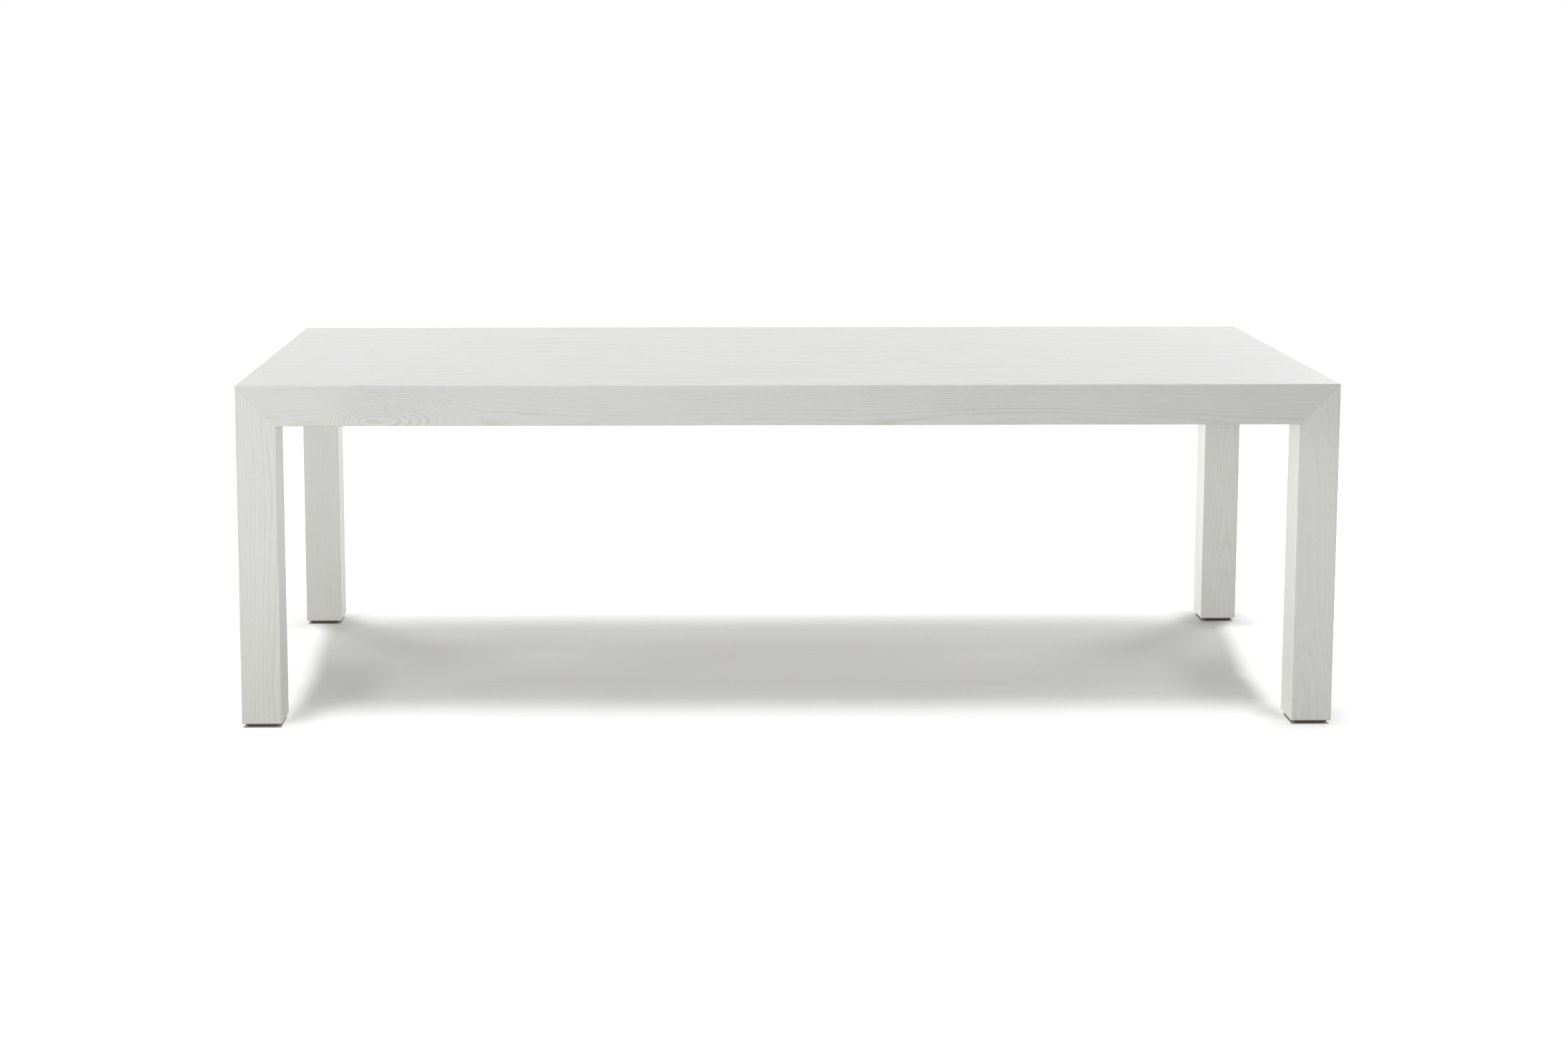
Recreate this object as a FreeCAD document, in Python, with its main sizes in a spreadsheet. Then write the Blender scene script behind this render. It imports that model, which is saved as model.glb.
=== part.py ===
import FreeCAD, Part
import os
import re
import Sketcher

# Parsons dining table, millimetres. The origin is on the floor under the middle of the top.
# +X runs along the table, -Y is the front, +Z is up.
# Every body is drawn in the frame of the front left corner: its x and y start at the two outer
# faces of that corner and its z starts at the floor. What repeats at the other corners, ends and
# sides is mirrored from there.

SIZES = {
    # whole table
    "length": 2400,
    "width": 1000,
    "height": 760,
    # a leg is as wide as an apron is high, which is what makes it a Parsons table
    "member": 89,
    "board": 22,
    "outer_round": 2.5,
    "inner_round": 1.5,
    # glides under the legs
    "glide_height": 9,
    "glide_inset": 8,
    "glide_bevel": 5,
    "glide_corner": 1.5,
    "glide_recess": 2,
    # corner joint: chamfered leg, block across the corner and hanger bolts
    "leg_chamfer": 24,
    "draw_gap": 1,
    "block_thickness": 30,
    "block_height": 60,
    "bolt_diameter": 8,
    "bolt_in_leg": 45,
    "bolt_beyond_nut": 5,
    "bolt_spacing": 30,
    "washer_diameter": 20,
    "washer_thickness": 1.6,
    "nut_flats": 13,
    "nut_height": 6.5,
    # countersunk wood screws
    "screw_diameter": 4,
    "screw_head": 8,
    "screw_head_height": 2.4,
    "screw_point": 5,
    "screw_socket": 3.2,
    "socket_depth": 1.4,
    "block_screw_length": 32,
    "block_screw_spacing": 30,
    "top_screw_length": 30,
    "glide_screw_length": 25,
    "screw_bite": 14,
    "top_screw_offset": 30,
    # dowels in the face mitres and in the rail ends
    "dowel_diameter": 8,
    "dowel_length": 36,
    "dowel_chamfer": 1,
    "dowel_upper": 32,
    "dowel_lower": 66,
    "dowel_stagger": 12,
    "rail_dowel_in_apron": 13,
    "rail_dowel_spacing": 28,
    # rails across the underside of the top
    "rail_thickness": 30,
    "rail_depth": 60,
    "rail_pitch": 560,
    "rail_screw_pitch": 300,
    # loose splines in the long mitres between top and aprons
    "spline_width": 14,
    "spline_thickness": 4,
    "spline_end": 120,
    # clearances
    "drill_gap": 0.05,
    "bolt_gap": 0.5,
    "glue_gap": 0.1,
    "bore_gap": 0.5,
}

NUT_SIDES = 6
TOLERANCE = 0.001
X_AXIS = FreeCAD.Vector(1, 0, 0)
Y_AXIS = FreeCAD.Vector(0, 1, 0)
Z_AXIS = FreeCAD.Vector(0, 0, 1)
INTO_TABLE = FreeCAD.Vector(1, 1, 0)   # the corner's diagonal, from the leg to the middle
CORNER = ("0", "0", "0")

doc = FreeCAD.newDocument("parsons_dining_table")
sheet = doc.addObject("Spreadsheet::Sheet", "Sizes")
for row, (alias, number) in enumerate(SIZES.items(), start=1):
    sheet.set(f"A{row}", alias)
    sheet.set(f"B{row}", str(number))
    sheet.setAlias(f"B{row}", alias)
doc.recompute()


# ---- formulas, sketches and features -------------------------------------------------------

def linked(formula):
    """Name the spreadsheet in front of every size in a formula."""
    def name(word):
        return "Sizes." + word.group() if word.group() in SIZES else word.group()
    return re.sub(r"[a-z_]+", name, str(formula))


def value(formula):
    """Number that a formula of the sheet's sizes gives now."""
    return float(sheet.evalExpression(linked(formula)))


def bind(item, **formulas):
    """Tie properties to formulas; a double underscore in a name stands for a dot."""
    for name, formula in formulas.items():
        item.setExpression(name.replace("__", "."), linked(formula))


def stand(item, at, turn):
    """Put an object's origin at a point of the front left corner's frame, turned by turn."""
    item.Placement = FreeCAD.Placement(FreeCAD.Vector(), turn)
    bind(item,
         Placement__Base__x=f"{at[0]} - length / 2",
         Placement__Base__y=f"{at[1]} - width / 2",
         Placement__Base__z=at[2])


def body_at(name, at=CORNER, direction=Z_AXIS):
    """Body standing at a point of the corner's frame with its own Z along a direction."""
    body = doc.addObject("PartDesign::Body", name)
    stand(body, at, FreeCAD.Rotation(Z_AXIS, direction))
    return body


def sketch_on(body, name, role, lift="0"):
    """Empty sketch on one of the body's own origin planes, moved along its normal by lift."""
    sketch = body.newObject("Sketcher::SketchObject", name)
    planes = [item for item in body.Origin.OriginFeatures if item.Role == role]
    sketch.AttachmentSupport = [(planes[0], "")]
    sketch.MapMode = "FlatFace"
    bind(sketch, AttachmentOffset__Base__z=lift)
    return sketch


def fix_point(sketch, line, formulas):
    """Hold the start of a line at two formulas from the sketch's origin."""
    for kind, formula in zip(("DistanceX", "DistanceY"), formulas):
        index = sketch.addConstraint(
            Sketcher.Constraint(kind, -1, 1, line, 1, value(formula)))
        sketch.setExpression(f"Constraints[{index}]", linked(formula))


def draw_polygon(sketch, corners):
    """Closed outline through corners given as pairs of formulas."""
    points = [FreeCAD.Vector(value(x), value(y), 0) for x, y in corners]
    first = sketch.GeometryCount
    count = len(points)
    for index, point in enumerate(points):
        sketch.addGeometry(Part.LineSegment(point, points[(index + 1) % count]), False)
    for index in range(count):
        after = first + (index + 1) % count
        sketch.addConstraint(Sketcher.Constraint("Coincident", first + index, 2, after, 1))
    for index, corner in enumerate(corners):
        fix_point(sketch, first + index, corner)


def draw_circle(sketch, diameter):
    """Circle about the sketch's origin."""
    circle = Part.Circle(FreeCAD.Vector(), Z_AXIS, value(diameter) / 2)
    index = sketch.addGeometry(circle, False)
    sketch.addConstraint(Sketcher.Constraint("Coincident", index, 3, -1, 1))
    size = sketch.addConstraint(Sketcher.Constraint("Diameter", index, value(diameter)))
    sketch.setExpression(f"Constraints[{size}]", linked(diameter))


def rectangle(x_low, y_low, x_high, y_high):
    return [(x_low, y_low), (x_high, y_low), (x_high, y_high), (x_low, y_high)]


def pad(body, name, sketch, length, upwards=True):
    feature = body.newObject("PartDesign::Pad", name)
    feature.Profile = sketch
    feature.Reversed = not upwards
    bind(feature, Length=length)
    doc.recompute()


def pocket(body, name, sketch, length, along_normal=False):
    """Cut against the sketch's normal, or along it; a cut that removes nothing is an error."""
    before = body.Shape.Volume
    feature = body.newObject("PartDesign::Pocket", name)
    feature.Profile = sketch
    feature.Reversed = along_normal
    bind(feature, Length=length)
    doc.recompute()
    if not body.Shape.Volume < before:
        raise ValueError(f"{body.Name}: {name} cuts nothing")


def edges_where(shape, wanted):
    """Names of the edges whose two ends together pass a test."""
    names = []
    for index, edge in enumerate(shape.Edges, start=1):
        ends = [vertex.Point for vertex in edge.Vertexes]
        if len(ends) == 2 and wanted(*ends):
            names.append(f"Edge{index}")
    return names


def dress(body, name, kind, size_name, size, wanted):
    """Round or bevel the edges of the body's last feature that pass a test."""
    base = body.Tip
    feature = body.newObject(f"PartDesign::{kind}", name)
    feature.Base = (base, edges_where(base.Shape, wanted))
    bind(feature, **{size_name: size})
    doc.recompute()


def fillet(body, name, radius, wanted):
    dress(body, name, "Fillet", "Radius", radius, wanted)


def bevel(body, name, size, wanted):
    dress(body, name, "Chamfer", "Size", size, wanted)


def near(number, formula):
    return abs(number - value(formula)) < TOLERANCE


def turned(body, name, outline):
    """Revolve an outline of (radius, height) formulas about the body's own Z axis."""
    sketch = sketch_on(body, f"{name}_outline", "XZ_Plane")
    draw_polygon(sketch, outline)
    feature = body.newObject("PartDesign::Revolution", name)
    feature.Profile = sketch
    feature.ReferenceAxis = (sketch, ["V_Axis"])
    feature.Angle = 360
    doc.recompute()


# ---- copies --------------------------------------------------------------------------------

def mirrored(source, name, normal):
    """Mirror image about the table's middle plane with this normal."""
    image = doc.addObject("Part::Mirroring", name)
    image.Source = source
    image.Normal = normal
    return image


def across_corner(source, name):
    """Mirror image about the diagonal plane of the front left corner."""
    image = doc.addObject("Part::Mirroring", name)
    image.Source = source
    image.Normal = X_AXIS - Y_AXIS
    bind(image, Base__x="-length / 2", Base__y="-width / 2")
    return image


def group(name, members):
    compound = doc.addObject("Part::Compound", name)
    compound.Links = members
    return compound


def both_ends(source, name):
    """A piece and its mirror image at the other end of the table."""
    return group(name, [source, mirrored(source, f"{name}_other_end", X_AXIS)])


def both_sides(source, name):
    """A piece and its mirror image at the rear of the table."""
    return group(name, [source, mirrored(source, f"{name}_other_side", Y_AXIS)])


def all_corners(source, name):
    return both_sides(both_ends(source, f"{name}_front"), name)


# ---- boards and legs as blanks -------------------------------------------------------------

def make_outline():
    """The whole table as one block with its outer arrises rounded: it trims every show face."""
    body = body_at("outline")
    plan = sketch_on(body, "outline_plan", "XY_Plane", "glide_height")
    draw_polygon(plan, rectangle("0", "0", "length", "width"))
    pad(body, "outline_block", plan, "height - glide_height")

    def is_outer(start, end):
        upright = abs(start.z - end.z) > value("board")
        return upright or (near(start.z, "height") and near(end.z, "height"))
    fillet(body, "outline_rounding", "outer_round", is_outer)
    return body


def cut_out(name, blank, outline, tools):
    """A blank inside the rounded outline, less its grooves and bores."""
    common = doc.addObject("Part::Common", f"{name}_rounded")
    common.Base = blank
    common.Tool = outline
    piece = doc.addObject("Part::Cut", name)
    piece.Base = common
    piece.Tool = group(f"{name}_tools", tools)
    return piece


def make_top_blank():
    """Top board, bevelled inwards at 45 degrees under each of its four arrises."""
    body = body_at("top_blank")
    plan = sketch_on(body, "top_plan", "XY_Plane", "height - board")
    draw_polygon(plan, rectangle("0", "0", "length", "width"))
    pad(body, "top_board", plan, "board")
    under = "height - board"
    for role, run, reach, along in (("XZ_Plane", "length", "width", False),
                                    ("YZ_Plane", "width", "length", True)):
        bevels = sketch_on(body, f"bevels_along_{reach}", role)
        draw_polygon(bevels, [("0", "height"), ("0", under), ("board", under)])
        draw_polygon(bevels, [(run, "height"), (run, under), (f"{run} - board", under)])
        pocket(body, f"bevel_along_{reach}", bevels, reach, along)
    return body


def make_apron_blank(name, face_plane, end_plane, run, inwards_is_normal):
    """Apron board with 45 degree mitres at both ends and along its top edge.

    The face plane holds the board's long face and the end plane its section.
    """
    body = body_at(name)
    face = sketch_on(body, f"{name}_face", face_plane)
    low = "height - member"
    draw_polygon(face, [("0", "height"), ("member", low), (f"{run} - member", low), (run, "height")])
    pad(body, f"{name}_board", face, "board", inwards_is_normal)

    def is_lower(start, end):
        is_long = (end - start).Length > 2 * value("board")
        return is_long and near(start.z, low) and near(end.z, low)
    fillet(body, f"{name}_lower_arrises", "inner_round", is_lower)
    section = sketch_on(body, f"{name}_section", end_plane)
    draw_polygon(section, [("0", "height"), ("board", "height"), ("board", "height - board")])
    pocket(body, f"{name}_top_mitre", section, run, not inwards_is_normal)
    return body


def make_leg_blank():
    """Square leg whose head is mitred into both aprons and rebated behind them."""
    body = body_at("leg_blank")
    section = sketch_on(body, "leg_section", "XY_Plane", "glide_height")
    draw_polygon(section, rectangle("0", "0", "member", "member"))
    pad(body, "leg_post", section, "height - glide_height")

    def is_eased(start, end):
        upright = abs(start.z - end.z) > value("member")
        at_floor = near(start.z, "glide_height") and near(end.z, "glide_height")
        return at_floor or (upright and start.x + start.y > 1)
    fillet(body, "leg_arrises", "inner_round", is_eased)

    for role, along in (("XZ_Plane", False), ("YZ_Plane", True)):
        mitre = sketch_on(body, f"mitre_{role[:2].lower()}", role)
        draw_polygon(mitre, [("0", "height"), ("member", "height - member"), ("member", "height")])
        pocket(body, f"mitre_cut_{role[:2].lower()}", mitre, "board", along)

    seat = sketch_on(body, "top_seat", "XY_Plane", "height")
    draw_polygon(seat, rectangle("board", "board", "member", "member"))
    pocket(body, "top_seat_cut", seat, "board")

    corner = sketch_on(body, "bolt_face", "XY_Plane", "height - board")
    draw_polygon(corner, [("member", "member"), ("member - leg_chamfer", "member"),
                          ("member", "member - leg_chamfer")])
    pocket(body, "bolt_face_cut", corner, "member - board")
    return body


# ---- corner blocks and rails ---------------------------------------------------------------

# sum of x and y on the two diagonal faces of the block, in the corner's frame
BLOCK_OUTER = "(2 * member - leg_chamfer + draw_gap * sqrt(2))"
BLOCK_INNER = f"({BLOCK_OUTER} + block_thickness * sqrt(2))"
BLOCK_MIDDLE = f"(({BLOCK_OUTER} + {BLOCK_INNER}) / 2)"
BLOCK_CENTRE_HEIGHT = "height - board - block_height / 2"


def make_block_blank():
    """Block across the corner between the inner faces of two aprons, under the top."""
    body = body_at("block_blank")
    plan = sketch_on(body, "block_plan", "XY_Plane", "height - board - block_height")
    draw_polygon(plan, [(f"{BLOCK_OUTER} - board", "board"), (f"{BLOCK_INNER} - board", "board"),
                        ("board", f"{BLOCK_INNER} - board"), ("board", f"{BLOCK_OUTER} - board")])
    pad(body, "block_body", plan, "block_height")
    return body


def make_rail_blank(name, centre):
    """Rail on edge under the top, from apron to apron."""
    body = body_at(name)
    plan = sketch_on(body, f"{name}_plan", "XY_Plane", "height - board - rail_depth")
    draw_polygon(plan, rectangle(f"{centre} - rail_thickness / 2", "board",
                                 f"{centre} + rail_thickness / 2", "width - board"))
    pad(body, f"{name}_body", plan, "rail_depth")
    return body


# ---- splines in the long mitres ------------------------------------------------------------

def make_spline(name, run, along_x, side_gap="0", face_gap="0"):
    """Strip set square across the mitre under an arris, short of the legs at both ends."""
    upwards_in = Z_AXIS + (Y_AXIS if along_x else X_AXIS)
    along = -X_AXIS if along_x else Y_AXIS
    wide = f"(spline_width + 2 * {side_gap})"
    thick = f"(spline_thickness + 2 * {face_gap})"
    inwards = f"board / 2 - ({wide} + {thick}) / (2 * sqrt(2))"
    upwards = f"height - board / 2 - ({wide} - {thick}) / (2 * sqrt(2))"
    start = f"{run} - spline_end + {side_gap}" if along_x else f"spline_end - {side_gap}"
    strip = doc.addObject("Part::Box", name)
    stand(strip, (start, inwards, upwards) if along_x else (inwards, start, upwards),
          FreeCAD.Rotation(along, upwards_in, along.cross(upwards_in), "XYZ"))
    bind(strip, Length=f"{run} - 2 * spline_end + 2 * {side_gap}", Width=wide, Height=thick)
    return strip


# ---- fasteners and their bores -------------------------------------------------------------

def make_screw(name, at, direction, length):
    """Countersunk screw: its head is flush with the origin and it is driven along direction."""
    body = body_at(name, at, direction)
    turned(body, name + "_turned", [
        ("0", "socket_depth"),
        ("screw_socket / 2", "0"),
        ("screw_head / 2", "0"),
        ("screw_diameter / 2", "screw_head_height"),
        ("screw_diameter / 2", f"{length} - screw_point"),
        ("0", length)])
    return body


def make_screw_bore(name, at, direction, length, sink):
    """Hole for a countersunk screw, with a bore for its head that is sink deep."""
    body = body_at(name, at, direction)
    turned(body, name + "_turned", [
        ("0", f"-({sink})"),
        ("screw_head / 2 + bore_gap", f"-({sink})"),
        ("screw_head / 2 + bore_gap", "0"),
        ("screw_head / 2 + drill_gap", "0"),
        ("screw_diameter / 2 + drill_gap", "screw_head_height"),
        ("screw_diameter / 2 + drill_gap", f"{length} + drill_gap"),
        ("0", f"{length} + drill_gap")])
    return body


def screws_with_bores(name, places, direction, length, sink):
    """Equal screws at several places, and the bores that they need."""
    screws = []
    bores = []
    for number, at in enumerate(places, start=1):
        screws.append(make_screw(f"{name}_{number}", at, direction, length))
        bores.append(make_screw_bore(f"{name}_bore_{number}", at, direction, length, sink))
    return group(name, screws), group(f"{name}_bores", bores)


def make_dowel(name, at, direction, length):
    """Fluted dowel as a plain pin with chamfered ends, starting at its origin."""
    body = body_at(name, at, direction)
    turned(body, name + "_turned", [
        ("0", "0"),
        ("dowel_diameter / 2 - dowel_chamfer", "0"),
        ("dowel_diameter / 2", "dowel_chamfer"),
        ("dowel_diameter / 2", f"{length} - dowel_chamfer"),
        ("dowel_diameter / 2 - dowel_chamfer", length),
        ("0", length)])
    return body


def make_dowel_bore(name, at, direction, length):
    """Blind bore round a dowel with a little room for glue at both ends."""
    body = body_at(name, at, direction)
    radius = "dowel_diameter / 2 + drill_gap"
    turned(body, name + "_turned", [
        ("0", "-bore_gap"),
        (radius, "-bore_gap"),
        (radius, f"{length} + bore_gap"),
        ("0", f"{length} + bore_gap")])
    return body


def dowels_with_bores(name, places, direction, length):
    dowels = []
    bores = []
    for number, at in enumerate(places, start=1):
        dowels.append(make_dowel(f"{name}_{number}", at, direction, length))
        bores.append(make_dowel_bore(f"{name}_bore_{number}", at, direction, length))
    return group(name, dowels), group(f"{name}_bores", bores)


def make_hanger_bolt(name, at):
    """Bolt with a wood thread in the leg and a machine thread through the block."""
    body = body_at(name, at, INTO_TABLE)
    reach = "draw_gap + block_thickness + washer_thickness + nut_height + bolt_beyond_nut"
    radius = "bolt_diameter / 2"
    turned(body, name + "_turned", [
        ("0", "-bolt_in_leg"),
        (radius, "-bolt_in_leg + bolt_diameter"),
        (radius, f"{reach} - bolt_diameter / 8"),
        (f"{radius} - bolt_diameter / 8", reach),
        ("0", reach)])
    return body


def make_bolt_bore(name, at, gap, start, end):
    """Bore on a hanger bolt's axis, from start to end beyond the leg's bolt face."""
    body = body_at(name, at, INTO_TABLE)
    radius = f"bolt_diameter / 2 + {gap}"
    turned(body, name + "_turned", [("0", start), (radius, start), (radius, end), ("0", end)])
    return body


def make_washer(name, at):
    body = body_at(name, at, INTO_TABLE)
    face = sketch_on(body, name + "_face", "XY_Plane", "draw_gap + block_thickness")
    draw_circle(face, "washer_diameter")
    draw_circle(face, "bolt_diameter + 2 * bore_gap")
    pad(body, name + "_ring", face, "washer_thickness")
    return body


def make_nut(name, at):
    """Hexagon nut on the washer."""
    body = body_at(name, at, INTO_TABLE)
    lift = "draw_gap + block_thickness + washer_thickness"
    face = sketch_on(body, name + "_face", "XY_Plane", lift)
    reach = "nut_flats / sqrt(3)"
    turns = [f"({360 / NUT_SIDES} deg * {side})" for side in range(NUT_SIDES)]
    draw_polygon(face, [(f"{reach} * cos{turn}", f"{reach} * sin{turn}") for turn in turns])
    draw_circle(face, "bolt_diameter + 2 * drill_gap")
    pad(body, name + "_prism", face, "nut_height")
    return body


def make_glide_blank():
    """Square moulded glide, bevelled round its lower edge."""
    body = body_at("glide_blank")
    plan = sketch_on(body, "glide_plan", "XY_Plane")
    far = "member - glide_inset"
    draw_polygon(plan, rectangle("glide_inset", "glide_inset", far, far))
    pad(body, "glide_plate", plan, "glide_height")
    bevel(body, "glide_lower_bevel", "glide_bevel",
          lambda start, end: near(start.z, "0") and near(end.z, "0"))
    fillet(body, "glide_corners", "glide_corner", lambda start, end: abs(start.z - end.z) > TOLERANCE)
    return body


# ---- the table -----------------------------------------------------------------------------

def make_splines_and_grooves():
    """Splines in the four long mitres, with the grooves that hold them."""
    front = make_spline("front_spline", "length", True)
    left = make_spline("left_spline", "width", False)
    mirrored(front, "rear_spline", Y_AXIS)
    mirrored(left, "right_spline", X_AXIS)
    return (make_spline("front_groove", "length", True, "bore_gap", "glue_gap"),
            make_spline("left_groove", "width", False, "bore_gap", "glue_gap"))


def make_mitre_dowels():
    """Dowels between a leg's head and its two aprons; those of the two faces pass in height."""
    front_places = [(f"{depth} - dowel_length / 2", "board / 2", f"height - {depth}")
                    for depth in ("dowel_upper", "dowel_lower")]
    side_places = [("board / 2", f"{depth} + dowel_stagger - dowel_length / 2",
                    f"height - {depth} - dowel_stagger") for depth in ("dowel_upper", "dowel_lower")]
    front, front_bores = dowels_with_bores("front_dowel", front_places, X_AXIS, "dowel_length")
    side, side_bores = dowels_with_bores("side_dowel", side_places, Y_AXIS, "dowel_length")
    all_corners(group("corner_dowels", [front, side]), "mitre_dowels")
    return front_bores, side_bores


def make_corner_bolts():
    """Hanger bolts, washers and nuts; returns their bores in the leg and in the block."""
    middle = "member - leg_chamfer / 2"
    places = [(middle, middle, f"{BLOCK_CENTRE_HEIGHT} {sign} bolt_spacing / 2") for sign in "+-"]
    makers = {"hanger_bolts": make_hanger_bolt, "bolt_washers": make_washer, "bolt_nuts": make_nut}
    for name, maker in makers.items():
        pair = [maker(f"corner_{name}_{number}", at) for number, at in enumerate(places, start=1)]
        all_corners(group(f"corner_{name}", pair), name)
    leg_bores = [make_bolt_bore(f"leg_bolt_bore_{number}", at, "drill_gap",
                                "-(bolt_in_leg + bore_gap)", "leg_chamfer")
                 for number, at in enumerate(places, start=1)]
    block_bores = [make_bolt_bore(f"block_bolt_bore_{number}", at, "bolt_gap",
                                  "0", "draw_gap + 2 * block_thickness")
                   for number, at in enumerate(places, start=1)]
    return group("leg_bolt_bores", leg_bores), group("block_bolt_bores", block_bores)


def make_block_screws():
    """Screws from the block into both aprons; returns the bores towards front and side."""
    along = f"{BLOCK_MIDDLE} - board"
    head = "board + block_screw_length - screw_bite"
    places = [(along, head, f"{BLOCK_CENTRE_HEIGHT} {sign} block_screw_spacing / 2")
              for sign in "+-"]
    front, front_bores = screws_with_bores("front_block_screw", places, -Y_AXIS,
                                           "block_screw_length", "block_thickness")
    side = across_corner(front, "side_block_screws")
    side_bores = across_corner(front_bores, "side_block_bores")
    all_corners(group("corner_block_screws", [front, side]), "block_screws")
    return front_bores, side_bores


def make_top_screws(rail_centres):
    """Screws up through blocks and rails into the top; returns the bores of each carrier."""
    head = "height - board - (top_screw_length - screw_bite)"
    aside = "top_screw_offset / sqrt(2)"
    corner_at = (f"{BLOCK_MIDDLE} / 2 + {aside}", f"{BLOCK_MIDDLE} / 2 - {aside}", head)
    near_screw, near_bore = screws_with_bores("block_top_screw", [corner_at], Z_AXIS,
                                              "top_screw_length", "block_height")
    far_screw = across_corner(near_screw, "block_top_screw_across")
    far_bore = across_corner(near_bore, "block_top_bore_across")
    block_screws = group("block_top_screws", [near_screw, far_screw])
    block_bores = group("block_top_bores", [near_bore, far_bore])
    rail_screws = {}
    rail_bores = {}
    for rail, centre in rail_centres.items():
        places = [(centre, f"width / 2 + {step} * rail_screw_pitch", head) for step in (-1, 0, 1)]
        rail_screws[rail], rail_bores[rail] = screws_with_bores(
            f"{rail}_rail_top_screw", places, Z_AXIS, "top_screw_length", "rail_depth")
    group("top_screws", [all_corners(block_screws, "all_block_top_screws"),
                         both_ends(rail_screws["left"], "outer_rail_top_screws"),
                         rail_screws["middle"]])
    return block_bores, rail_bores


def make_rail_dowels(rail_centres):
    """Dowels between rail ends and aprons; returns the bores at the front of each rail."""
    height = "height - board - rail_depth / 2"
    start = "board - rail_dowel_in_apron"
    dowels = {}
    bores = {}
    for rail, centre in rail_centres.items():
        places = [(centre, start, f"{height} {sign} rail_dowel_spacing / 2") for sign in "+-"]
        dowels[rail], bores[rail] = dowels_with_bores(f"{rail}_rail_dowel", places, Y_AXIS, "dowel_length")
    front = group("front_rail_dowels", [both_ends(dowels["left"], "outer_rail_dowels"),
                                        dowels["middle"]])
    both_sides(front, "rail_dowels")
    return bores


def make_glides():
    """Four glides, each held by one countersunk screw; returns the screw's bore."""
    centre = ("member / 2", "member / 2", "glide_recess")
    screw, bore = screws_with_bores("glide_screw", [centre], Z_AXIS, "glide_screw_length",
                                    "glide_recess + bore_gap")
    all_corners(screw, "glide_screws")
    glide = doc.addObject("Part::Cut", "front_left_glide")
    glide.Base = make_glide_blank()
    glide.Tool = bore
    mirror_corner_piece(glide, "glide")
    return bore


def mirror_corner_piece(front_left, kind):
    """Make the other three of four equal corner pieces."""
    mirrored(front_left, f"front_right_{kind}", X_AXIS)
    rear_left = mirrored(front_left, f"rear_left_{kind}", Y_AXIS)
    mirrored(rear_left, f"rear_right_{kind}", X_AXIS)


def make_table():
    outline = make_outline()
    rail_centres = {"left": "length / 2 - rail_pitch", "middle": "length / 2"}
    front_groove, left_groove = make_splines_and_grooves()
    front_dowel_bores, side_dowel_bores = make_mitre_dowels()
    leg_bolt_bores, block_bolt_bores = make_corner_bolts()
    front_screw_bores, side_screw_bores = make_block_screws()
    block_top_bores, rail_top_bores = make_top_screws(rail_centres)
    rail_dowel_bores = make_rail_dowels(rail_centres)
    glide_screw_bore = make_glides()

    cut_out("top_panel", make_top_blank(), outline, [
        both_sides(front_groove, "long_grooves"),
        both_ends(left_groove, "short_grooves"),
        all_corners(block_top_bores, "top_bores_over_blocks"),
        both_ends(rail_top_bores["left"], "top_bores_over_outer_rails"),
        rail_top_bores["middle"]])

    front_blank = make_apron_blank("front_apron_blank", "XZ_Plane", "YZ_Plane", "length", False)
    front_apron = cut_out("front_apron", front_blank, outline, [
        front_groove,
        both_ends(front_dowel_bores, "front_apron_dowel_bores"),
        both_ends(front_screw_bores, "front_apron_screw_bores"),
        both_ends(rail_dowel_bores["left"], "outer_rail_dowel_bores"),
        rail_dowel_bores["middle"]])
    mirrored(front_apron, "rear_apron", Y_AXIS)

    left_blank = make_apron_blank("left_apron_blank", "YZ_Plane", "XZ_Plane", "width", True)
    left_apron = cut_out("left_apron", left_blank, outline, [
        left_groove,
        both_sides(side_dowel_bores, "left_apron_dowel_bores"),
        both_sides(side_screw_bores, "left_apron_screw_bores")])
    mirrored(left_apron, "right_apron", X_AXIS)

    leg = cut_out("front_left_leg", make_leg_blank(), outline, [
        front_dowel_bores, side_dowel_bores, leg_bolt_bores, glide_screw_bore])
    mirror_corner_piece(leg, "leg")

    block = doc.addObject("Part::Cut", "front_left_block")
    block.Base = make_block_blank()
    block.Tool = group("block_tools", [block_bolt_bores, front_screw_bores, side_screw_bores,
                                       block_top_bores])
    mirror_corner_piece(block, "block")

    rails = {}
    for name, centre in rail_centres.items():
        rails[name] = doc.addObject("Part::Cut", f"{name}_rail")
        rails[name].Base = make_rail_blank(f"{name}_rail_blank", centre)
        rails[name].Tool = group(f"{name}_rail_tools", [
            rail_top_bores[name], both_sides(rail_dowel_bores[name], f"{name}_rail_end_bores")])
    mirrored(rails["left"], "right_rail", X_AXIS)


CORNER_NAMES = ("front_left", "front_right", "rear_left", "rear_right")
SIDE_NAMES = ("front", "rear", "left", "right")
SINGLE_PIECES = [
    "top_panel",
    *(f"{side}_apron" for side in SIDE_NAMES),
    *(f"{corner}_leg" for corner in CORNER_NAMES),
    *(f"{corner}_block" for corner in CORNER_NAMES),
    "left_rail", "middle_rail", "right_rail",
    *(f"{side}_spline" for side in SIDE_NAMES),
    *(f"{corner}_glide" for corner in CORNER_NAMES),
]
FASTENER_GROUPS = [
    "mitre_dowels", "rail_dowels",
    "hanger_bolts", "bolt_washers", "bolt_nuts",
    "block_screws", "top_screws", "glide_screws",
]


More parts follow.
